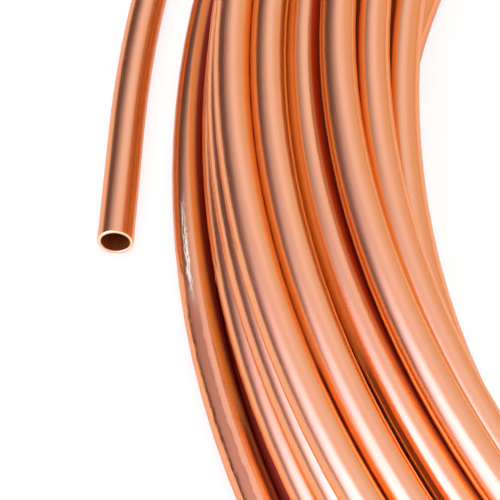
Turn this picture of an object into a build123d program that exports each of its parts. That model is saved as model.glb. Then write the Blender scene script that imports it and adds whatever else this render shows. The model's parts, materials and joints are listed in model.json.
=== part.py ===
from build123d import *
from build123d.topology import SkipClean
import os
from math import cos, radians, sin

# Coil of soft copper tube lying flat on the floor.
# All lengths are in millimetres, the coil axis is Z and the floor is Z = 0.
# Angles are in degrees round the axis from +X towards +Y, and the tube is wound that way too.

# Tube
tube_d = 10.0
tube_wall = 1.0
tube_r = tube_d / 2
bore_r = tube_r - tube_wall

# Wound turns
# coil_r is the centreline radius of the outermost turn in the top layer.
coil_r = 325.0
turns_across = 6
# The turns lie unevenly, as they were wound by hand. Each pair places a turn in ratios to tube_d:
# how far inside the outermost turn of the top layer, and how high above the bottom layer.
outer_side_ratios = ((-0.24, 0.0), (-0.35, 0.99), (-0.18, 1.98))
top_layer_ratios = ((0.0, 2.96), (1.09, 2.93), (2.01, 2.6), (2.98, 3.23), (3.85, 2.76))
inner_side_ratios = ((4.45, 1.95), (4.54, 0.97), (4.72, 0.0))
# The last turn lies on the floor and presses this far into the turn beside it.
last_turn_press = 0.1
# The backs of the turns that no end leaves have this many flats to the full circle.
back_flats = 8

# Outer free end
# It leaves the last turn at an angle, follows the coil and ends in a straight, hollow stretch.
# Over the first part of its natural bend, touching_sweep, it still touches the last turn.
outer_at = 113.1
outer_turn = 6.0
natural_r = 310.8
natural_sweep = 53.5
touching_sweep = 20.0
easing_r = 480.0
easing_sweep = 5.6
straight_len = 40.0

# Inner end, where the tube starts
# Followed from the coil it runs back clockwise, turns into the eye and is straight and hollow there.
inner_at = 163.7
inner_turn = 6.3
inner_r = 250.0
inner_sweep = 19.0
inner_straight_len = 30.0

# The ring is turned in parts, and each end leaves a short part of its own.
end_part_lead = 5.0
end_part_sweep = 30.0


def seat(inwards, up):
    """Centre of a turn as (radius, height) from its two ratios to the tube's diameter."""
    return coil_r - inwards * tube_d, tube_r + up * tube_d


def bottom_layer():
    """Centres of the turns on the floor, evenly spaced from the outer side to the inner side."""
    outer = seat(*outer_side_ratios[0])[0]
    inner = seat(*inner_side_ratios[-1])[0]
    pitch = (outer - inner) / (turns_across - 1)
    return [(outer - k * pitch, tube_r) for k in range(turns_across)]


last_turn_r = seat(*outer_side_ratios[0])[0] + tube_d - last_turn_press
innermost_r = seat(*inner_side_ratios[-1])[0]


def wound_section():
    """Section through the turns, with their round backs on both ends, inside and outside."""
    around = outer_side_ratios + top_layer_ratios + inner_side_ratios
    edge = [seat(*ratios) for ratios in around]
    flat_backs = edge[:-1] + bottom_layer()[1:-1]
    with BuildSketch(Plane.XZ) as section:
        Polygon(*edge, align=None)
        with Locations(*flat_backs):
            RegularPolygon(tube_r, back_flats, major_radius=False, rotation=180 / back_flats)
        with Locations((last_turn_r, tube_r), (innermost_r, tube_r)):
            Circle(tube_r)
    return section.sketch


def ring_part(section, start, sweep):
    """Part of the turned ring from start degrees over sweep degrees."""
    return revolve(Rot(0, 0, start) * section, axis=Axis.Z, revolution_arc=sweep).solid()


class Run:
    """A level run of tube, drawn piece by piece from where it leaves a turn.

    side is 1 where the run goes anticlockwise round the coil and -1 where it goes clockwise.
    """

    def __init__(self, turn_r, at, turn_out, side):
        a = radians(at)
        self.side = side
        self.at = Vector(turn_r * cos(a), turn_r * sin(a), tube_r)
        along = Vector(-sin(a), cos(a), 0) * side
        self.heading = along.rotate(Axis.Z, -turn_out * side)

    def disc(self, radius):
        return Plane(origin=self.at, x_dir=(0, 0, 1), z_dir=self.heading) * Circle(radius)

    def bend(self, bend_r, sweep):
        """Bend the way the coil bends by sweep degrees, as one turned piece."""
        centre = self.at + Vector(-self.heading.Y, self.heading.X, 0) * bend_r * self.side
        axis = Axis((centre.X, centre.Y, 0), (0, 0, self.side))
        made = revolve(self.disc(tube_r), axis=axis, revolution_arc=sweep).solid()
        turned = sweep * self.side
        self.at = centre + (self.at - centre).rotate(Axis.Z, turned)
        self.heading = self.heading.rotate(Axis.Z, turned)
        return made

    def mouth(self, length):
        """Skin and bore of the straight stretch up to the mouth."""
        made = [extrude(self.disc(r), amount=length).solid() for r in (tube_r, bore_r)]
        self.at = self.at + self.heading * length
        print("mouth", self.at, "heading", self.heading)
        return made


def outer_end():
    """Pieces of the outer free end, with its bore last."""
    run = Run(last_turn_r, outer_at, outer_turn, 1)
    touching = run.bend(natural_r, touching_sweep)
    free = run.bend(natural_r, natural_sweep - touching_sweep)
    easing = run.bend(easing_r, easing_sweep)
    return [touching, free, easing, *run.mouth(straight_len)]


def inner_end():
    """Pieces of the inner end, with its bore last."""
    run = Run(innermost_r, inner_at, -inner_turn, -1)
    return [run.bend(inner_r, inner_sweep), *run.mouth(inner_straight_len)]


def coil():
    """The whole coil as one solid. Its faces stay split where the parts of the ring meet."""
    section = wound_section()
    outer_start = outer_at - end_part_lead
    inner_start = inner_at + end_part_lead - end_part_sweep
    rest_start = inner_start + end_part_sweep
    rest = 360 - (rest_start - outer_start)
    parts = []
    with SkipClean():
        for start, sweep, (*skin, bore) in (
            (outer_start, inner_start - outer_start, outer_end()),
            (inner_start, end_part_sweep, inner_end()),
        ):
            parts.append(ring_part(section, start, sweep).fuse(*skin).cut(bore))
        for half in range(2):
            parts.append(ring_part(section, rest_start + half * rest / 2, rest / 2))
        return parts[0].fuse(*parts[1:])


os.makedirs("parts", exist_ok=True)
node = coil()
print("solids", len(node.solids()), "faces", len(node.faces()), "valid", node.is_valid)
print("box", node.bounding_box())
print("volume", round(node.volume))
shape = node.solids()[0]
shape.label = "copper_tube_coil"
export_step(shape, "parts/copper_tube_coil.step")
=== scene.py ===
"""Coil of soft copper tube, lying on a pale studio floor.

The tube is one piece. It starts inside the coil, fills it column by column and ends in the free end beside
it. Lengths of the coil and the camera are in millimetres, and those of the finish, the floor and the
light in metres. Angles on the coil are in degrees from +X towards +Y, and the tube runs that way too.
"""

import json
import logging
from dataclasses import astuple, dataclass
from functools import reduce
from math import atan2, ceil, cos, exp, pi, radians, sin, tan

import bmesh
import bpy
from mathutils import Matrix, Vector

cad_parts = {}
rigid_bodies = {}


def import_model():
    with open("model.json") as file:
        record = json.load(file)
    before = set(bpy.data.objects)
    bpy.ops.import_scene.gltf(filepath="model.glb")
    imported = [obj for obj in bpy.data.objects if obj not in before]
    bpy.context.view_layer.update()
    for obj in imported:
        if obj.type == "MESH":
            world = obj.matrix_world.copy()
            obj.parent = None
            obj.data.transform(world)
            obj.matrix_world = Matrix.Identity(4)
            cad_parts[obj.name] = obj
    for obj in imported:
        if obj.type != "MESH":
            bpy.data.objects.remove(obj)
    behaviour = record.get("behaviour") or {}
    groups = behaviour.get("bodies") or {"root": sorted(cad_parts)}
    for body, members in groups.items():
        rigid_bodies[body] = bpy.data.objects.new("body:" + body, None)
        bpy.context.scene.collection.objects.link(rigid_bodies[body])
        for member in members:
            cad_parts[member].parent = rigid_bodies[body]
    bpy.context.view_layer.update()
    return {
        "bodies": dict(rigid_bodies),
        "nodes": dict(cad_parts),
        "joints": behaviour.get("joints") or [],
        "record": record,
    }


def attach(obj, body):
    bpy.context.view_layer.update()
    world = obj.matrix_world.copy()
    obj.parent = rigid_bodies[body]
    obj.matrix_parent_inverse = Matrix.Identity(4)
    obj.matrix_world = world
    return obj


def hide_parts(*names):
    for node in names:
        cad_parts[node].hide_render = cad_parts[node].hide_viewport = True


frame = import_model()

Colour = tuple[float, float, float]
Span = tuple[float, float]
Socket = bpy.types.NodeSocket

MM = 0.001
UP = Vector((0.0, 0.0, 1.0))
FULL_TURN = 360.0
WHITE: Colour = (1.0, 1.0, 1.0)
NODE = "copper_tube_coil"
BODY = "root"

log = logging.getLogger("copper_tube_coil")


def eased(share: float) -> float:
    """Turns a share into one that starts and stops gently.

    Args:
        share: How far along, below 0 and above 1 allowed.

    Returns:
        A value from 0 to 1.
    """
    held = min(max(share, 0.0), 1.0)
    return held * held * (3.0 - 2.0 * held)


def level(angle: float) -> Vector:
    """Gives the level direction at an angle in radians."""
    return Vector((cos(angle), sin(angle), 0.0))


def place_mesh(name: str, shape: bmesh.types.BMesh) -> bpy.types.Object:
    """Turns a finished bmesh into an object of the scene.

    Args:
        name: Name of the object and of its mesh.
        shape: The bmesh, which is freed.

    Returns:
        The object, at the origin.
    """
    mesh = bpy.data.meshes.new(name)
    shape.to_mesh(mesh)
    shape.free()
    placed = bpy.data.objects.new(name, mesh)
    bpy.context.scene.collection.objects.link(placed)
    log.info("%s: %d faces", name, len(mesh.polygons))
    return placed


# Where the turns lie

@dataclass(frozen=True)
class Seat:
    """One place in the coil's cross-section where a turn lies.

    Attributes:
        radius: Radius of the turn's centreline.
        height: Height of the centreline over the floor.
        lean: How much the radius grows per degree near the watched side.
        sink: How much the height falls per degree there.
    """

    radius: float
    height: float
    lean: float = 0.0
    sink: float = 0.0


@dataclass(frozen=True)
class CoilSection:
    """The coil's cross-section, each layer listed from the outside in.

    Attributes:
        rim: The last turn, which lies on the floor outside the others.
        bottom: The layer on the floor.
        second: The layer on it.
        third: The layer under the top one.
        top: The top layer.
    """

    rim: Seat = Seat(338.0, 5.0, 0.17)
    bottom: tuple[Seat, ...] = (
        Seat(328.0, 5.0, 0.17),
        Seat(316.9, 5.0, 0.09),
        Seat(306.9, 5.0, 0.05),
        Seat(297.4, 5.0, 0.01),
        Seat(287.7, 5.0, 0.01),
        Seat(277.8, 5.0, 0.02),
    )
    second: tuple[Seat, ...] = (
        Seat(328.8, 15.0, 0.07),
        Seat(318.4, 14.9, 0.04),
        Seat(308.8, 14.9, 0.06),
        Seat(299.0, 14.9, 0.09),
        Seat(289.3, 14.8, 0.12),
        Seat(279.6, 14.7, 0.15),
    )
    third: tuple[Seat, ...] = (
        Seat(326.7, 24.9, -0.04),
        Seat(312.6, 24.5),
        Seat(294.6, 24.0),
        Seat(280.5, 24.5, 0.28, 0.09),
    )
    top: tuple[Seat, ...] = (
        Seat(324.7, 34.6, -0.04),
        Seat(314.6, 34.3, -0.05),
        Seat(303.8, 29.3, -0.17, -0.08),
        Seat(295.1, 37.3, -0.1),
        Seat(286.5, 32.6),
    )

    def filling_order(self) -> list[Seat]:
        """Lists the seats in the order in which the tube fills them.

        Returns:
            Seats from the start of the tube to its last turn.
        """
        low, mid, high, top = self.bottom, self.second, self.third, self.top
        inner_side = [low[5], mid[5], high[3], top[4], top[3], mid[4], low[4]]
        middle = [low[3], mid[3], high[2], top[2], high[1]]
        outer_side = [top[1], top[0], high[0], mid[0]]
        floor_side = [mid[1], mid[2], low[2], low[1], low[0]]
        return inner_side + middle + outer_side + floor_side + [self.rim]


@dataclass(frozen=True)
class Wave:
    """A slow wave in the turns, which a coil wound by hand has.

    Attributes:
        strength: How strong it is beside the others.
        swings: How often it swings out and in on the way round.
        shift: How far it moves on from one turn to the next, in degrees.
    """

    strength: float
    swings: float
    shift: float

    def at(self, off: float, number: int) -> float:
        """Gives the wave of a numbered turn at an angle from the watched side."""
        return self.strength * sin(radians(self.swings * off + self.shift * number))


@dataclass(frozen=True)
class Winding:
    """The centreline of the wound tube as a function of the angle it has turned through.

    Attributes:
        section: The seats that the turns lie in.
        watched_at: Angle of the middle of the watched side.
        lean_reach: Degrees over which a seat's lean and sink act.
        last_change: Angle on the coil of the last change past the watched side.
        change_gap: Degrees between one change of seat and the one made a turn earlier.
        change_half: Half the length of a change of seat, in degrees.
        late_changes: Angles on the coil of the last two changes, which come before the watched side.
        wander: How far a turn strays from its seat.
        wander_start: Degrees from the watched side over which the wander comes in.
        waves: The waves that it strays by.
    """

    section: CoilSection = CoilSection()
    watched_at: float = 178.0
    lean_reach: float = 30.0
    last_change: float = 206.0
    change_gap: float = 12.5
    change_half: float = 12.0
    late_changes: Span = (143.0, 129.5)
    wander: float = 0.35
    wander_start: float = 30.0
    waves: tuple[Wave, ...] = (Wave(1.0, 2.0, 47.0), Wave(0.6, 3.0, 91.0))

    def change_angles(self) -> list[float]:
        """Works out where the tube leaves each seat for the next one.

        Returns:
            Angles turned through, one for each pair of following seats.
        """
        regular = len(self.section.filling_order()) - 1 - len(self.late_changes)
        angles = []
        for number in range(regular):
            on_coil = self.last_change + (regular - 1 - number) * self.change_gap
            angles.append(FULL_TURN * number + on_coil)
        for later, on_coil in enumerate(self.late_changes):
            angles.append(FULL_TURN * (regular + later) + on_coil)
        return angles

    def off_watched(self, angle: float) -> float:
        """Gives how far an angle is past the middle of the watched side."""
        return (angle - self.watched_at + FULL_TURN / 2.0) % FULL_TURN - FULL_TURN / 2.0

    def seat_place(self, number: int, angle: float) -> tuple[float, float]:
        """Gives where a turn lies in its seat.

        Args:
            number: The seat's place in the filling order.
            angle: Angle turned through.

        Returns:
            Radius and height of the centreline.
        """
        seat = self.section.filling_order()[number]
        off = self.off_watched(angle)
        near = exp(-((off / self.lean_reach) ** 2))
        far = 1.0 - exp(-((off / self.wander_start) ** 2))
        swing = sum(wave.at(off, number) for wave in self.waves)
        radius = seat.radius + seat.lean * off * near + self.wander * far * swing
        return radius, seat.height - seat.sink * off * near

    def place(self, angle: float) -> tuple[float, float]:
        """Gives where the centreline lies, also on its way from one seat to the next.

        Args:
            angle: Angle turned through.

        Returns:
            Radius and height.
        """
        changes = self.change_angles()
        number = sum(1 for change in changes if angle > change - self.change_half)
        radius, height = self.seat_place(number, angle)
        if number and angle < changes[number - 1] + self.change_half:
            start = changes[number - 1] - self.change_half
            share = eased((angle - start) / (2.0 * self.change_half))
            old_radius, old_height = self.seat_place(number - 1, angle)
            radius = old_radius + share * (radius - old_radius)
            height = old_height + share * (height - old_height)
        return radius, height

    def point(self, angle: float) -> Vector:
        """Gives a point of the centreline.

        Args:
            angle: Angle turned through.

        Returns:
            The point in metres.
        """
        radius, height = self.place(angle)
        turned = radians(angle)
        return Vector((radius * cos(turned), radius * sin(turned), height)) * MM


# How the tube runs from one mouth to the other

@dataclass(frozen=True)
class Bend:
    """A stretch of a free end.

    Attributes:
        radius: Radius of the stretch, or 0 for a straight one.
        length: Length of the stretch.
    """

    radius: float
    length: float

    @staticmethod
    def swept(radius: float, degrees: float) -> "Bend":
        """Makes a bend from the angle that it turns through."""
        return Bend(radius, radius * radians(degrees))


@dataclass(frozen=True)
class FreeEnd:
    """An end of the tube that leaves the coil and lies on the floor.

    Attributes:
        leaves_at: Angle on the coil where it leaves.
        ring_radius: Radius of the turn that it leaves.
        height: Height of the centreline.
        turn: Angle between the end and the turn, towards the outside.
        way: 1 where it goes on the way that the tube runs and -1 where it goes back.
        bends: Its stretches from the coil to the mouth.
    """

    leaves_at: float
    ring_radius: float
    height: float
    turn: float
    way: float
    bends: tuple[Bend, ...]

    @property
    def length(self) -> float:
        """Length from the coil to the mouth."""
        return sum(bend.length for bend in self.bends)

    def degrees(self, along: float) -> float:
        """Turns a length into the angle that it takes up on the turn."""
        return along / (self.ring_radius * radians(1.0))

    def point(self, along: float) -> Vector:
        """Gives a point of the end's centreline.

        Args:
            along: Length from the coil. Below 0 the first bend runs on backwards.

        Returns:
            The point in metres.
        """
        turned = radians(self.leaves_at)
        at = level(turned) * self.ring_radius
        heading = turned + self.way * pi / 2.0 - self.way * radians(self.turn)
        left = along
        for bend in self.bends:
            last = bend is self.bends[-1]
            step = left if last else min(left, bend.length)
            if bend.radius:
                centre = at + level(heading + self.way * pi / 2.0) * bend.radius
                heading += self.way * step / bend.radius
                at = centre - level(heading + self.way * pi / 2.0) * bend.radius
            else:
                at = at + level(heading) * step
            left -= step
            if left == 0.0:
                break
        return Vector((at.x, at.y, self.height)) * MM


@dataclass(frozen=True)
class Centreline:
    """The whole line of the tube from its inner mouth to its outer one.

    Attributes:
        winding: The wound turns.
        inner: The end inside the coil.
        outer: The end beside the coil.
        step: Degrees between two stations on the turns.
        blend: Length over which a free end and its turn run into each other.
        end_step: Length between two stations on a free end.
    """

    winding: Winding = Winding()
    inner: FreeEnd = FreeEnd(
        leaves_at=163.7,
        ring_radius=277.8,
        height=5.0,
        turn=-6.3,
        way=-1.0,
        bends=(Bend.swept(250.0, 19.0), Bend(0.0, 30.0)),
    )
    outer: FreeEnd = FreeEnd(
        leaves_at=113.1,
        ring_radius=337.3,
        height=5.0,
        turn=6.0,
        way=1.0,
        bends=(Bend.swept(310.8, 53.5), Bend.swept(480.0, 5.6), Bend(0.0, 40.0)),
    )
    step: float = 2.1
    blend: float = 22.0
    end_step: float = 9.0

    def end_part(self, end: FreeEnd, leaves_at: float) -> list[Vector]:
        """Lists points from where a turn runs over into a free end to its mouth.

        Args:
            end: The free end.
            leaves_at: Angle turned through where it leaves.

        Returns:
            Points in metres.
        """
        whole = end.length + self.blend
        count = ceil(whole / self.end_step)
        points = []
        for number in range(count + 1):
            along = -self.blend + number * whole / count
            angle = leaves_at + end.way * end.degrees(along)
            share = eased((along + self.blend) / (2.0 * self.blend))
            points.append(self.winding.point(angle).lerp(end.point(along), share))
        return points

    @property
    def outer_angle(self) -> float:
        """Angle turned through where the outer end leaves."""
        turns = len(self.winding.section.filling_order()) - 1
        return FULL_TURN * turns + self.outer.leaves_at

    def points(self) -> list[Vector]:
        """Lists every station of the tube.

        Returns:
            Points in metres from the inner mouth to the outer one.
        """
        first = self.inner.leaves_at + self.inner.degrees(self.blend)
        last = self.outer_angle - self.outer.degrees(self.blend)
        count = round((last - first) / self.step)
        turns = [self.winding.point(first + (last - first) * number / count) for number in range(count)]
        inner_part = self.end_part(self.inner, self.inner.leaves_at)
        outer_part = self.end_part(self.outer, self.outer_angle)
        return inner_part[:0:-1] + turns + outer_part


# The tube's skin

@dataclass(frozen=True)
class Ring:
    """One ring of the tube's skin.

    Attributes:
        frame: Where it lies, with its Z along the tube.
        radius: Its radius in metres.
        run: Length of tube up to it in metres.
    """

    frame: Matrix
    radius: float
    run: float


@dataclass(frozen=True)
class CopperTube:
    """The tube as one closed skin, with its wall and bore at both mouths.

    Attributes:
        line: The line that it follows.
        tube_radius: Its outside radius.
        wall: Thickness of its wall.
        chamfer: Size of the worn edges at a mouth.
        bore_depth: Depth to which the bore is drawn from each mouth.
        bore_start: How far behind a mouth the bore's first station lies.
        sides: Sides of a ring.
        rings_in_a_length: Rings that are extruded in one bmesh, as a longer one is slow to extrude.
        merge_within: Distance within which the ends of two lengths are merged.
        sharp_over: Angle over which an edge is left sharp.
    """

    line: Centreline = Centreline()
    tube_radius: float = 5.0
    wall: float = 1.0
    chamfer: float = 0.22
    bore_depth: float = 150.0
    bore_start: float = 0.66
    sides: int = 22
    rings_in_a_length: int = 180
    merge_within: float = 0.002
    sharp_over: float = 35.0

    def frames(self) -> tuple[list[Matrix], list[float]]:
        """Sets a frame at each station.

        Returns:
            The frames, with Z along the tube and Y as near to up as it can be, and the length up to each.
        """
        points = self.line.points()
        found = []
        runs = []
        run = 0.0
        for number, here in enumerate(points):
            before = points[max(number - 1, 0)]
            after = points[min(number + 1, len(points) - 1)]
            run += (here - before).length
            ahead = (after - before).normalized()
            side = UP.cross(ahead).normalized()
            rise = ahead.cross(side)
            turn = Matrix((side, rise, ahead)).transposed().to_4x4()
            found.append(Matrix.Translation(here) @ turn)
            runs.append(run)
        return found, runs

    def mouth_rings(self, frames: list[Matrix], runs: list[float], way: float) -> list[Ring]:
        """Lists the rings from deep in a bore out to the edge of the mouth.

        Args:
            frames: Frames from the mouth into the tube.
            runs: Length of tube at each of them.
            way: 1 where the mouth faces along the tube and -1 where it faces back.

        Returns:
            Rings from the deepest one to the one that starts the outer skin.
        """
        bore = (self.tube_radius - self.wall) * MM
        outside = self.tube_radius * MM
        cut = self.chamfer * MM
        deep = [
            Ring(frame, bore, run)
            for frame, run in zip(frames, runs)
            if self.bore_start * MM < abs(run - runs[0]) < self.bore_depth * MM
        ]
        back = Matrix.Translation((0.0, 0.0, -way * cut))
        mouth = frames[0]
        return deep[::-1] + [
            Ring(mouth @ back, bore, runs[0]),
            Ring(mouth, bore + cut, runs[0]),
            Ring(mouth, outside - cut, runs[0]),
            Ring(mouth @ back, outside, runs[0]),
        ]

    def rings(self) -> list[Ring]:
        """Lists every ring of the closed skin.

        Returns:
            Rings from the bottom of one bore to the bottom of the other.
        """
        frames, runs = self.frames()
        outside = self.tube_radius * MM
        start = self.mouth_rings(frames, runs, -1.0)
        skin = [Ring(frame, outside, run) for frame, run in zip(frames[1:-1], runs[1:-1])]
        end = self.mouth_rings(frames[::-1], runs[::-1], 1.0)
        return start + skin + end[::-1]

    def length_of_tube(self, rings: list[Ring]) -> bmesh.types.BMesh:
        """Builds one length of the skin, and writes where each vertex is round and along the tube.

        Args:
            rings: Its rings in order.

        Returns:
            A new bmesh, open at both ends.
        """
        length = bmesh.new()
        layer = length.verts.layers.float_vector.new("run")
        first = rings[0]
        bmesh.ops.create_circle(length, cap_ends=False, segments=self.sides, radius=first.radius)
        for vert in length.verts:
            round_at = atan2(vert.co.y, vert.co.x)
            out = first.radius / (self.tube_radius * MM)
            vert[layer] = Vector((out * cos(round_at), out * sin(round_at), first.run))
        bmesh.ops.transform(length, matrix=first.frame, verts=length.verts[:])
        edges = length.edges[:]
        for before, here in zip(rings, rings[1:]):
            grown = bmesh.ops.extrude_edge_only(length, edges=edges)["geom"]
            verts = [item for item in grown if isinstance(item, bmesh.types.BMVert)]
            edges = [item for item in grown if isinstance(item, bmesh.types.BMEdge)]
            wider = here.radius / before.radius
            step = here.frame @ Matrix.Diagonal((wider, wider, 1.0, 1.0)) @ before.frame.inverted()
            bmesh.ops.transform(length, matrix=step, verts=verts)
            for vert in verts:
                vert[layer].xy = vert[layer].xy * wider
                vert[layer].z = here.run
        return length

    def build(self) -> bpy.types.Object:
        """Builds the tube.

        Returns:
            Its object, at the origin, with the tube's place in its mesh.
        """
        rings = self.rings()
        whole = bmesh.new()
        whole.verts.layers.float_vector.new("run")
        joined = bpy.data.meshes.new("joined_lengths")
        for start in range(0, len(rings) - 1, self.rings_in_a_length):
            length = self.length_of_tube(rings[start : start + self.rings_in_a_length + 1])
            length.to_mesh(joined)
            length.free()
            whole.from_mesh(joined)
        bpy.data.meshes.remove(joined)
        bmesh.ops.remove_doubles(whole, verts=whole.verts[:], dist=self.merge_within * MM)
        open_edges = [edge for edge in whole.edges if edge.is_boundary]
        bmesh.ops.edgeloop_fill(whole, edges=open_edges)
        bmesh.ops.recalc_face_normals(whole, faces=whole.faces[:])
        for face in whole.faces:
            face.smooth = True
        for edge in whole.edges:
            if edge.is_manifold and edge.calc_face_angle() > radians(self.sharp_over):
                edge.smooth = False
        log.info("copper_tube: %.2f m of tube in %d rings", rings[-1].run, len(rings))
        return place_mesh("copper_tube", whole)

    def dress(self, tube: bpy.types.Object, copper: bpy.types.Material) -> None:
        """Gives the tube its finish and its place in the frame.

        Args:
            tube: The built tube.
            copper: Its finish, which the CAD solid that it stands for gets too.
        """
        tube.data.materials.append(copper)
        for slot in frame["nodes"][NODE].material_slots:
            slot.material = copper
        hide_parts(NODE)
        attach(tube, BODY)


# Short ways to make material nodes

@dataclass(frozen=True)
class Ramp:
    """A smooth step from one result to another as a value grows.

    Attributes:
        start: Value at which it starts.
        end: Value at which it is done.
        first: Result before it.
        last: Result after it.
    """

    start: float
    end: float
    first: float = 0.0
    last: float = 1.0

    @staticmethod
    def rising(at: float, soft: float) -> "Ramp":
        """Makes a ramp from 0 to 1 round a value."""
        return Ramp(at - soft, at + soft)

    @staticmethod
    def falling(at: float, soft: float) -> "Ramp":
        """Makes a ramp from 1 to 0 round a value."""
        return Ramp(at - soft, at + soft, 1.0, 0.0)


@dataclass(frozen=True)
class Grain:
    """A noise pattern in the copper.

    Attributes:
        size: Scale of the pattern across the tube, up it and along it.
        detail: Octaves of detail.
        roughness: How strong the finer octaves are.
    """

    size: tuple[float, float, float]
    detail: float
    roughness: float = 0.55


class Nodes:
    """A node tree, with short ways to add nodes and join them."""

    def __init__(self, owner: bpy.types.Material | bpy.types.World) -> None:
        """Empties the tree of a material or of the world.

        Args:
            owner: What the nodes are made for.
        """
        owner.use_nodes = True
        self.tree = owner.node_tree
        self.tree.nodes.clear()

    def add(self, kind: str, **settings: object) -> bpy.types.Node:
        """Adds a node.

        Args:
            kind: Type name of the node, without its prefix.
            settings: Its own properties.

        Returns:
            The node.
        """
        node = self.tree.nodes.new("ShaderNode" + kind)
        for name, value in settings.items():
            setattr(node, name, value)
        return node

    def join(self, out: Socket, into: Socket) -> None:
        """Joins two sockets."""
        self.tree.links.new(out, into)

    def split(self, vector: Socket) -> bpy.types.Node:
        """Adds a node that splits a vector into its X, Y and Z.

        Args:
            vector: The vector.

        Returns:
            The node.
        """
        node = self.add("SeparateXYZ")
        self.join(vector, node.inputs["Vector"])
        return node

    def maths(self, operation: str, first: object, second: object = 0.0, third: object = 0.0) -> Socket:
        """Adds a Math node.

        Args:
            operation: What it does.
            first: A socket or a number.
            second: A socket or a number.
            third: A socket or a number.

        Returns:
            The output socket.
        """
        node = self.add("Math", operation=operation)
        for socket, value in zip(node.inputs, (first, second, third)):
            if isinstance(value, Socket):
                self.join(value, socket)
            else:
                socket.default_value = value
        return node.outputs[0]

    def ramp(self, value: Socket, ramp: Ramp) -> Socket:
        """Maps a value by a ramp.

        Args:
            value: The value.
            ramp: The ramp.

        Returns:
            The mapped value.
        """
        node = self.add("MapRange", interpolation_type="SMOOTHSTEP")
        self.join(value, node.inputs["Value"])
        for name, number in zip(("From Min", "From Max", "To Min", "To Max"), astuple(ramp)):
            node.inputs[name].default_value = number
        return node.outputs["Result"]

    def band(self, value: Socket, ends: Span, soft: float, far_soft: float | None = None) -> Socket:
        """Makes a mask that is 1 between two values and fades beyond them.

        Args:
            value: The value.
            ends: The two values.
            soft: Half the width of its edges.
            far_soft: The same for its far edge, where that differs.

        Returns:
            The mask.
        """
        far = soft if far_soft is None else far_soft
        return self.overlap(
            self.ramp(value, Ramp.rising(ends[0], soft)),
            self.ramp(value, Ramp.falling(ends[1], far)),
        )

    def overlap(self, *masks: Socket) -> Socket:
        """Makes a mask of where all of several masks are."""
        return reduce(lambda first, second: self.maths("MULTIPLY", first, second), masks)

    def strongest(self, *masks: Socket) -> Socket:
        """Makes a mask of the strongest of several masks at each place."""
        return reduce(lambda first, second: self.maths("MAXIMUM", first, second), masks)

    def noise(self, at: Socket, grain: Grain) -> Socket:
        """Adds a noise pattern.

        Args:
            at: Coordinates to read.
            grain: The pattern.

        Returns:
            The noise, about 0.5 on average.
        """
        scaled = self.add("Mapping")
        scaled.inputs["Scale"].default_value = grain.size
        self.join(at, scaled.inputs["Vector"])
        node = self.add("TexNoise", noise_dimensions="3D")
        node.inputs["Scale"].default_value = 1.0
        node.inputs["Detail"].default_value = grain.detail
        node.inputs["Roughness"].default_value = grain.roughness
        self.join(scaled.outputs["Vector"], node.inputs["Vector"])
        return node.outputs["Fac"]

    def blend(self, share: Socket, first: object, second: object) -> Socket:
        """Mixes two colours.

        Args:
            share: How much of the second one shows.
            first: A colour or a socket.
            second: A colour or a socket.

        Returns:
            The mixed colour.
        """
        node = self.add("Mix", data_type="RGBA")
        self.join(share, node.inputs["Factor"])
        sockets = [socket for socket in node.inputs if socket.type == "RGBA"]
        for socket, value in zip(sockets, (first, second)):
            if isinstance(value, Socket):
                self.join(value, socket)
            else:
                socket.default_value = (*value, 1.0)
        return [socket for socket in node.outputs if socket.type == "RGBA"][0]

    def mix_shaders(self, share: Socket, first: Socket, second: Socket) -> Socket:
        """Mixes two shaders.

        Args:
            share: How much of the second one shows.
            first: A shader.
            second: A shader.

        Returns:
            The mixed shader.
        """
        node = self.add("MixShader")
        for socket, value in zip(node.inputs, (share, first, second)):
            self.join(value, socket)
        return node.outputs["Shader"]


# The copper's finish

@dataclass(frozen=True)
class Spot:
    """A point of the copper, as the material's nodes give it.

    Attributes:
        nodes: Those nodes.
        along_y: Its place along Y.
        height: Its height over the floor.
        out: Its distance from the coil axis.
        run: Its place across the tube, as a share of the tube's radius, and along it, in metres.
        round_at: Its angle round the tube, from the top, in radians.
        watched: A mask of the watched side.
    """

    nodes: Nodes
    along_y: Socket
    height: Socket
    out: Socket
    run: Socket
    round_at: Socket
    watched: Socket

    @staticmethod
    def read(nodes: Nodes, watched: Ramp) -> "Spot":
        """Adds the nodes that give it.

        Args:
            nodes: The material's nodes.
            watched: Range along X over which the watched side ends.

        Returns:
            The point.
        """
        at = nodes.split(nodes.add("TexCoord").outputs["Object"]).outputs
        squared = nodes.maths("MULTIPLY_ADD", at["X"], at["X"], nodes.maths("MULTIPLY", at["Y"], at["Y"]))
        run = nodes.add("Attribute", attribute_name="run", attribute_type="GEOMETRY").outputs["Vector"]
        place = nodes.split(run).outputs
        return Spot(
            nodes=nodes,
            along_y=at["Y"],
            height=at["Z"],
            out=nodes.maths("SQRT", squared),
            run=run,
            round_at=nodes.maths("ARCTAN2", place["X"], place["Y"]),
            watched=nodes.ramp(at["X"], watched),
        )


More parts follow.
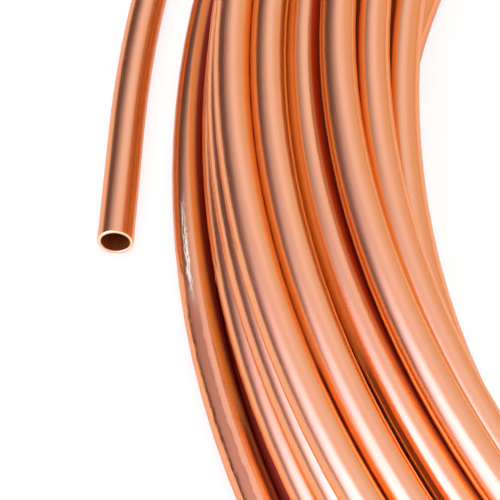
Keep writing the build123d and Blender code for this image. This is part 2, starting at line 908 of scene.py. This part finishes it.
@dataclass(frozen=True)
class PaintedValley:
    """A groove between two turns, where the copper is made less metallic and rougher and painted with shade
    and with reflections of the turns beside it.

    Attributes:
        colour: Its painted colour: dark red for painted shade deep between the turns, orange for painted
            reflections of the turns beside it.
        ring: Distances from the coil axis that it lies between.
        top: Height that it stays below.
        floor: Height that it stays above.
        lean: How far it moves outwards for each metre along Y.
        near_end: Place along Y where it ends towards the camera.
        soft: Half the width of its edges.
        outer_soft: The same for its edge away from the coil axis.
        end_soft: The same for its near end.
    """

    colour: Colour
    ring: Span
    top: float
    floor: float = 0.0
    lean: float = 0.0
    near_end: float = -1.0
    soft: float = 0.0005
    outer_soft: float = 0.0007
    end_soft: float = 0.012

    def mask(self, spot: Spot) -> Socket:
        """Makes where its painted colour lies.

        Args:
            spot: The point of the copper.

        Returns:
            The mask.
        """
        nodes = spot.nodes
        out = nodes.maths("MULTIPLY_ADD", spot.along_y, -self.lean, spot.out)
        across = nodes.band(out, self.ring, self.soft, self.outer_soft)
        deep = nodes.band(spot.height, (self.floor, self.top), self.soft)
        ended = nodes.ramp(spot.along_y, Ramp.rising(self.near_end, self.end_soft))
        return nodes.overlap(spot.watched, nodes.overlap(across, deep, ended))


@dataclass(frozen=True)
class OuterTurnMarks:
    """Marks on one side of the outermost turn: a darker, rougher patch, a dark speckled line at its edge and
    a pale scratch.

    Places round the tube are in degrees from its top.

    Attributes:
        turn_from: Distance from the coil axis over which that turn starts.
        turn_to: Distance over which it ends.
        turn_under: Height over which it ends.
        shake: How far the marks' edges stray round the tube.
        shaken: The pattern that they stray by.
        speckle: The pattern that the marks are broken up by.
        dull: Range along Y over which the dull patch fades in.
        dull_round: Where it starts and ends round the tube.
        dull_soft: Half the width of its edges there.
        line: Range along Y over which the dark line at its edge fades in.
        line_round: Where the line starts and ends round the tube.
        line_speckle: How the speckle breaks it up.
        scratch: Range along Y of the pale scratch.
        scratch_round: Where it starts and ends round the tube.
        scratch_soft: Half the width of its ends along Y.
        scratch_speckle: How the speckle breaks it up.
        fine_soft: Half the width of the line's and the scratch's edges round the tube.
    """

    turn_from: Ramp = Ramp(0.3325, 0.3335)
    turn_to: Ramp = Ramp(0.3450, 0.3460, 1.0, 0.0)
    turn_under: Ramp = Ramp(0.0104, 0.0110, 1.0, 0.0)
    shake: float = 16.0
    shaken: Grain = Grain((1.0, 1.0, 220.0), 3.0)
    speckle: Grain = Grain((16.0, 16.0, 420.0), 4.0, 0.7)
    dull: Ramp = Ramp(-0.004, 0.020, 1.0, 0.0)
    dull_round: Span = (-50.0, -12.0)
    dull_soft: float = 5.0
    line: Ramp = Ramp(0.0, 0.014, 1.0, 0.0)
    line_round: Span = (-56.0, -44.0)
    line_speckle: Ramp = Ramp(0.36, 0.56, 0.15, 1.0)
    scratch: Span = (0.009, 0.039)
    scratch_round: Span = (-34.0, -19.0)
    scratch_soft: float = 0.006
    scratch_speckle: Ramp = Ramp(0.42, 0.50)
    fine_soft: float = 3.0

    @staticmethod
    def round_band(nodes: Nodes, round_at: Socket, ends: Span, soft: float) -> Socket:
        """Makes a band between two places round the tube, in degrees."""
        return nodes.band(round_at, (radians(ends[0]), radians(ends[1])), radians(soft))

    def masks(self, spot: Spot) -> tuple[Socket, ...]:
        """Makes where the turn is dull, dark and scratched.

        Args:
            spot: The point of the copper.

        Returns:
            The three masks.
        """
        nodes = spot.nodes
        turn = nodes.overlap(
            nodes.ramp(spot.out, self.turn_from),
            nodes.ramp(spot.out, self.turn_to),
            spot.watched,
            nodes.ramp(spot.height, self.turn_under),
        )
        strays = nodes.noise(spot.run, self.shaken)
        strayed = nodes.maths("MULTIPLY_ADD", strays, radians(self.shake), spot.round_at)
        round_at = nodes.maths("SUBTRACT", strayed, radians(self.shake) / 2.0)
        speckle = nodes.noise(spot.run, self.speckle)
        dull = nodes.overlap(
            nodes.ramp(spot.along_y, self.dull),
            self.round_band(nodes, round_at, self.dull_round, self.dull_soft),
        )
        line = nodes.overlap(
            self.round_band(nodes, round_at, self.line_round, self.fine_soft),
            nodes.ramp(speckle, self.line_speckle),
            nodes.ramp(spot.along_y, self.line),
        )
        scratch = nodes.overlap(
            nodes.band(spot.along_y, self.scratch, self.scratch_soft),
            self.round_band(nodes, round_at, self.scratch_round, self.fine_soft),
            nodes.ramp(speckle, self.scratch_speckle),
        )
        return tuple(nodes.overlap(mask, turn) for mask in (dull, line, scratch))


@dataclass(frozen=True)
class Mouths:
    """The cut mouths of the tube, told by how far out across it a point is, as a share of its radius.

    Attributes:
        bore: Where the bore ends.
        face_from: Where the wall's cut face starts.
        face_to: Where it ends.
    """

    bore: Ramp = Ramp(0.80, 0.82, 1.0, 0.0)
    face_from: Ramp = Ramp(0.81, 0.83)
    face_to: Ramp = Ramp(0.965, 0.985, 1.0, 0.0)

    def masks(self, spot: Spot) -> tuple[Socket, Socket]:
        """Makes where the bore and the cut face are.

        Args:
            spot: The point of the copper.

        Returns:
            The two masks.
        """
        nodes = spot.nodes
        flat = nodes.add("Mapping")
        flat.inputs["Scale"].default_value = (1.0, 1.0, 0.0)
        nodes.join(spot.run, flat.inputs["Vector"])
        length = nodes.add("VectorMath", operation="LENGTH")
        nodes.join(flat.outputs["Vector"], length.inputs[0])
        outwards = length.outputs["Value"]
        face = nodes.overlap(nodes.ramp(outwards, self.face_from), nodes.ramp(outwards, self.face_to))
        return nodes.ramp(outwards, self.bore), face


@dataclass(frozen=True)
class DrawnCopper:
    """Bright soft copper with the marks of drawing and handling, a darker patch on the outermost turn, and
    shade and reflections of the turns painted into the grooves between them.

    Attributes:
        colour: The clean metal.
        worn: Where handling has dulled it.
        scratched: The bottom of a fresh scratch.
        dark_patch_colour: The colour of the darker patch on the outermost turn.
        dark_line_colour: The dark line beside it.
        sawn: The wall's cut face at a mouth.
        inside: The bore.
        edge: Its tint at a glancing angle.
        watched: Range along X over which the watched side ends.
        outer_turn_marks: Marks on the outermost turn.
        painted_valleys: The grooves between the turns of the watched side, made less metallic and rougher
            and painted with shade and with reflections of the turns beside them.
        mouths: The cut mouths.
        lines: The drawing marks.
        fine_lines: The finer ones between them.
        clouds: Broad patches of tone.
        wear: Tone over which the metal is worn.
        scuffs: The pattern of the small scuffs.
        scuff_edge: How high it has to be for a scuff.
        scuffed: The pattern of the places that have scuffs.
        scuffed_edge: How high that has to be.
        polish: Roughness by tone.
        mark_roughness: Roughness that a mark adds.
        bore_mark: How much of a mark the bore is.
        metallic: How metallic clean copper is.
        painted_valley_metal_loss: How much less metallic the copper is where shade and reflections are
            painted between the turns.
        fine_relief: Height of the finer drawing marks beside the others.
        mark_relief: Depth of a mark beside them.
        bump: Strength of the relief.
        bump_depth: Its depth.
        name: Its name.
    """

    colour: Colour = (0.95, 0.46, 0.13)
    worn: Colour = (0.92, 0.42, 0.115)
    scratched: Colour = (1.0, 0.95, 0.32)
    dark_patch_colour: Colour = (0.46, 0.19, 0.043)
    dark_line_colour: Colour = (0.22, 0.06, 0.01)
    sawn: Colour = (1.0, 0.90, 0.33)
    inside: Colour = (0.85, 0.36, 0.07)
    edge: Colour = (1.0, 0.84, 0.52)
    watched: Ramp = Ramp(-0.29, -0.27, 1.0, 0.0)
    outer_turn_marks: OuterTurnMarks = OuterTurnMarks()
    # Painted shade and painted reflections: the two dark red grooves stand in for the shade deep between the
    # turns, the three orange ones for the turns reflected in each other.
    painted_valleys: tuple[PaintedValley, ...] = (
        PaintedValley((0.64, 0.17, 0.014), (0.3354, 0.3372), top=0.0108, near_end=-0.030),
        PaintedValley((0.23, 0.014, 0.001), (0.3300, 0.3354), top=0.0108),
        PaintedValley((0.72, 0.19, 0.018), (0.3180, 0.3212), top=0.0375, floor=0.0300, lean=0.006, near_end=-0.035),
        PaintedValley((0.82, 0.25, 0.03), (0.3070, 0.3115), top=0.0340, floor=0.0255, lean=0.0195, near_end=-0.035),
        PaintedValley((0.42, 0.03, 0.002), (0.2975, 0.3017), top=0.0345, floor=0.0240, lean=0.028),
    )
    mouths: Mouths = Mouths()
    lines: Grain = Grain((26.0, 26.0, 6.0), 3.0)
    fine_lines: Grain = Grain((70.0, 70.0, 24.0), 2.0)
    clouds: Grain = Grain((1.6, 1.6, 22.0), 4.0)
    wear: Ramp = Ramp(0.42, 0.66)
    scuffs: Grain = Grain((9.0, 9.0, 90.0), 5.0, 0.7)
    scuff_edge: Ramp = Ramp(0.67, 0.72)
    scuffed: Grain = Grain((1.1, 1.1, 6.5), 2.0)
    scuffed_edge: Ramp = Ramp(0.55, 0.68)
    polish: Ramp = Ramp(0.35, 0.7, 0.20, 0.29)
    mark_roughness: float = 0.25
    bore_mark: float = 0.5
    metallic: float = 0.95
    painted_valley_metal_loss: float = 0.6
    fine_relief: float = 0.5
    mark_relief: float = 0.6
    bump: float = 0.05
    bump_depth: float = 0.00005
    name: str = "drawn_copper"

    def make(self) -> bpy.types.Material:
        """Makes the material.

        Returns:
            The material.
        """
        material = bpy.data.materials.new(self.name)
        nodes = Nodes(material)
        metal = nodes.add("BsdfPrincipled")
        metal.inputs["Specular Tint"].default_value = (*self.edge, 1.0)
        nodes.join(metal.outputs["BSDF"], nodes.add("OutputMaterial").inputs["Surface"])
        spot = Spot.read(nodes, self.watched)
        lines, fine_lines, clouds, scuffs, scuffed = (
            nodes.noise(spot.run, grain)
            for grain in (self.lines, self.fine_lines, self.clouds, self.scuffs, self.scuffed)
        )
        tone = nodes.maths("MULTIPLY_ADD", lines, 0.5, nodes.maths("MULTIPLY", clouds, 0.5))
        colour = nodes.blend(nodes.ramp(tone, self.wear), self.colour, self.worn)
        scuff = nodes.overlap(nodes.ramp(scuffs, self.scuff_edge), nodes.ramp(scuffed, self.scuffed_edge))
        dull, line, scratch = self.outer_turn_marks.masks(spot)
        bore, face = self.mouths.masks(spot)
        # Masks of the grooves where shade and reflections of the turns are painted into the colour.
        painted_valleys = [painted_valley.mask(spot) for painted_valley in self.painted_valleys]
        layers = [
            (scuff, self.scratched),
            (dull, self.dark_patch_colour),
            (line, self.dark_line_colour),
            (scratch, self.scratched),
            (bore, self.inside),
            (face, self.sawn),
            *zip(painted_valleys, (painted_valley.colour for painted_valley in self.painted_valleys)),
        ]
        for mask, laid in layers:
            colour = nodes.blend(mask, colour, laid)
        nodes.join(colour, metal.inputs["Base Color"])
        # Where shade and reflections are painted between the turns, the copper is also made less metallic
        # and rougher.
        in_painted_valley = nodes.strongest(*painted_valleys)
        metallic = nodes.maths("MULTIPLY_ADD", in_painted_valley, -self.painted_valley_metal_loss, self.metallic)
        nodes.join(metallic, metal.inputs["Metallic"])
        in_bore = nodes.maths("MULTIPLY", bore, self.bore_mark)
        marks = nodes.strongest(scuff, dull, scratch, face, in_painted_valley, in_bore)
        rougher = nodes.maths("MULTIPLY", marks, self.mark_roughness)
        nodes.join(nodes.maths("ADD", nodes.ramp(tone, self.polish), rougher), metal.inputs["Roughness"])
        drawn = nodes.maths("MULTIPLY_ADD", fine_lines, self.fine_relief, lines)
        bump = nodes.add("Bump")
        bump.inputs["Strength"].default_value = self.bump
        bump.inputs["Distance"].default_value = self.bump_depth
        nodes.join(nodes.maths("MULTIPLY_ADD", marks, -self.mark_relief, drawn), bump.inputs["Height"])
        nodes.join(bump.outputs["Normal"], metal.inputs["Normal"])
        log.info("%s: finish of the tube", self.name)
        return material


# The studio

@dataclass(frozen=True)
class StudioFloor:
    """The pale floor.

    Attributes:
        size: Length of its side.
        paint: Its colour.
        reflected: Its colour as the copper shows it.
        cleared: How much of what the camera sees is plain white.
        white: How bright that white is.
    """

    size: float = 16.0
    paint: Colour = (0.82, 0.82, 0.82)
    reflected: Colour = (0.76, 0.66, 1.25)
    cleared: float = 0.72
    white: float = 1.05

    def finish(self) -> bpy.types.Material:
        """Makes its paint, cleared to white where the camera sees it.

        Returns:
            The material.
        """
        material = bpy.data.materials.new("floor_paint")
        nodes = Nodes(material)
        seen = nodes.add("LightPath").outputs["Is Camera Ray"]
        paint = nodes.add("BsdfDiffuse")
        nodes.join(nodes.blend(seen, self.reflected, self.paint), paint.inputs["Color"])
        white = nodes.add("Emission")
        white.inputs["Strength"].default_value = self.white
        share = nodes.maths("MULTIPLY", seen, self.cleared)
        mixed = nodes.mix_shaders(share, paint.outputs["BSDF"], white.outputs["Emission"])
        nodes.join(mixed, nodes.add("OutputMaterial").inputs["Surface"])
        return material

    def build(self) -> None:
        """Builds the floor and gives it its paint."""
        shape = bmesh.new()
        bmesh.ops.create_grid(shape, x_segments=1, y_segments=1, size=self.size / 2.0)
        floor = place_mesh("floor", shape)
        floor.data.materials.append(self.finish())


@dataclass(frozen=True)
class Card:
    """A curved card round the watched side, which only reflections show and which fades out at its edges.

    Directions are in degrees from +Y towards +X, and elevations are in degrees.

    Attributes:
        name: Its name.
        glow: Its colour.
        left: Directions over which it fades in.
        right: Directions over which it fades out.
        rise: Elevations over which it fades out.
        left_slant: How far its left edge moves right for each degree of elevation.
        right_slant: The same for its right edge.
        away: Its distance.
        watched: Where the watched side is.
        panels: How many flat panels it is bent in.
    """

    name: str
    glow: Colour
    left: Span
    right: Span
    rise: Span
    left_slant: float = 0.0
    right_slant: float = 0.0
    away: float = 3.0
    watched: Span = (-0.33, 0.0)
    panels: int = 32

    def shape(self) -> bmesh.types.BMesh:
        """Shapes the card as part of an upright drum.

        Returns:
            A new bmesh.
        """
        shape = bmesh.new()
        start = radians(90.0 - self.right[1] - self.right_slant * self.rise[1])
        turn = radians(self.right[1] + self.right_slant * self.rise[1] - self.left[0])
        across, ahead = self.away * cos(start), self.away * sin(start)
        foot = shape.verts.new((across, ahead, 0.0))
        head = shape.verts.new((across, ahead, self.away * tan(radians(self.rise[1]))))
        pole = shape.edges.new((foot, head))
        pieces = [foot, head, pole]
        bmesh.ops.spin(shape, geom=pieces, angle=turn, steps=self.panels, axis=UP, cent=(0.0, 0.0, 0.0))
        bmesh.ops.translate(shape, vec=(*self.watched, 0.0), verts=shape.verts[:])
        return shape

    def finish(self) -> bpy.types.Material:
        """Makes its glow, see-through where the card fades out.

        Returns:
            The material.
        """
        material = bpy.data.materials.new(self.name)
        nodes = Nodes(material)
        at = nodes.split(nodes.add("TexCoord").outputs["Object"]).outputs
        across = nodes.maths("SUBTRACT", at["X"], self.watched[0])
        ahead = nodes.maths("SUBTRACT", at["Y"], self.watched[1])
        side = nodes.maths("ARCTAN2", across, ahead)
        up = nodes.maths("ARCTAN2", at["Z"], self.away)
        from_left = nodes.maths("MULTIPLY_ADD", up, -self.left_slant, side)
        from_right = nodes.maths("MULTIPLY_ADD", up, -self.right_slant, side)
        there = nodes.overlap(
            nodes.ramp(from_left, Ramp(radians(self.left[0]), radians(self.left[1]))),
            nodes.ramp(from_right, Ramp(radians(self.right[0]), radians(self.right[1]), 1.0, 0.0)),
            nodes.ramp(up, Ramp(radians(self.rise[0]), radians(self.rise[1]), 1.0, 0.0)),
        )
        glow = nodes.add("Emission")
        glow.inputs["Color"].default_value = (*self.glow, 1.0)
        clear = nodes.add("BsdfTransparent")
        mixed = nodes.mix_shaders(there, clear.outputs["BSDF"], glow.outputs["Emission"])
        nodes.join(mixed, nodes.add("OutputMaterial").inputs["Surface"])
        return material

    def build(self) -> None:
        """Builds the card and hides it from the camera, from diffuse light and from shadows."""
        card = place_mesh(self.name, self.shape())
        card.data.materials.append(self.finish())
        card.visible_camera = False
        card.visible_diffuse = False
        card.visible_shadow = False


@dataclass(frozen=True)
class Studio:
    """The light of the room: a white world, a broad soft box overhead and the cards that the copper shows.

    Attributes:
        cards: The cards.
        room: The world's colour as the copper shows it.
        fill: The world's colour as it lights the coil.
        box_side: Length of the soft box's side.
        box_height: Height of the soft box.
        box_at: Where it hangs.
        box_glow: How bright it is.
    """

    cards: tuple[Card, ...] = (
        Card("dark_card", (0.08, 0.025, 0.08), (-98.0, -74.0), (-15.0, 15.0), (22.0, 64.0), left_slant=1.0),
        Card("warm_card", (0.82, 0.63, 0.92), (28.0, 58.0), (130.0, 150.0), (45.0, 62.0), away=3.2),
        Card(
            "window_card",
            (2.8, 2.6, 9.0),
            (-150.0, -130.0),
            (-108.0, -88.0),
            (66.0, 74.0),
            right_slant=1.0,
            away=2.8,
        ),
    )
    room: Colour = (0.95, 0.93, 2.1)
    fill: Colour = (0.5, 0.5, 0.5)
    box_side: float = 2.2
    box_height: float = 1.85
    box_at: Span = (-0.33, -0.05)
    box_glow: float = 2.6

    def light_world(self) -> None:
        """Makes the world white where it is seen, cool where it is reflected and softer as a lamp."""
        world = bpy.data.worlds.new("studio")
        bpy.context.scene.world = world
        nodes = Nodes(world)
        rays = nodes.add("LightPath").outputs
        colour: object = self.fill
        for ray, shown in (
            ("Is Glossy Ray", self.room),
            ("Is Transmission Ray", self.room),
            ("Is Camera Ray", WHITE),
        ):
            colour = nodes.blend(rays[ray], colour, shown)
        sky = nodes.add("Background")
        nodes.join(colour, sky.inputs["Color"])
        nodes.join(sky.outputs["Background"], nodes.add("OutputWorld").inputs["Surface"])
        log.info("studio: world lit")

    def hang_box(self) -> None:
        """Hangs the soft box over the coil, facing down."""
        data = bpy.data.lights.new("soft_box", "AREA")
        data.shape = "SQUARE"
        data.size = self.box_side
        data.energy = self.box_glow * pi * self.box_side**2
        box = bpy.data.objects.new("soft_box", data)
        box.location = (self.box_at[0], self.box_at[1], self.box_height)
        box.visible_glossy = False
        bpy.context.scene.collection.objects.link(box)
        log.info("soft_box: hung")

    def place_cards(self) -> None:
        """Places the cards round the watched side."""
        for card in self.cards:
            card.build()


@dataclass(frozen=True)
class PhotoCamera:
    """The camera at the photograph's place.

    Attributes:
        target: Point at the middle of the picture.
        away: Distance from it.
        side: Direction that the camera looks along, in degrees from +Y towards +X.
        drop: How far it looks down, in degrees.
        focal: Focal length in pixels of the picture.
        picture: Width of the picture in pixels.
        film: Width of the camera's film.
        nearest: Distance from which it sees, in metres.
    """

    target: tuple[float, float, float] = (-325.98, 0.0, 35.0)
    away: float = 667.0
    side: float = 11.1
    drop: float = 52.0
    focal: float = 2588.6
    picture: float = 500.0
    film: float = 36.0
    nearest: float = 0.01

    def build(self) -> None:
        """Builds the camera and makes it the scene's."""
        side, drop = radians(self.side), radians(self.drop)
        ahead = Vector((sin(side) * cos(drop), cos(side) * cos(drop), -sin(drop)))
        data = bpy.data.cameras.new("photo_camera")
        data.sensor_width = self.film
        data.lens = self.focal / self.picture * self.film
        data.clip_start = self.nearest
        camera = bpy.data.objects.new("photo_camera", data)
        camera.location = (Vector(self.target) - ahead * self.away) * MM
        camera.rotation_euler = ahead.to_track_quat("-Z", "Y").to_euler()
        bpy.context.scene.collection.objects.link(camera)
        bpy.context.scene.camera = camera
        log.info("photo_camera: placed")


def main() -> None:
    """Builds and dresses the coil, then the studio round it."""
    logging.basicConfig(level=logging.INFO, format="%(name)s: %(message)s")
    bpy.context.scene.view_settings.view_transform = "Standard"
    coil = CopperTube()
    coil.dress(coil.build(), DrawnCopper().make())
    StudioFloor().build()
    studio = Studio()
    studio.light_world()
    studio.hang_box()
    studio.place_cards()
    PhotoCamera().build()


if __name__ == "__main__":
    main()
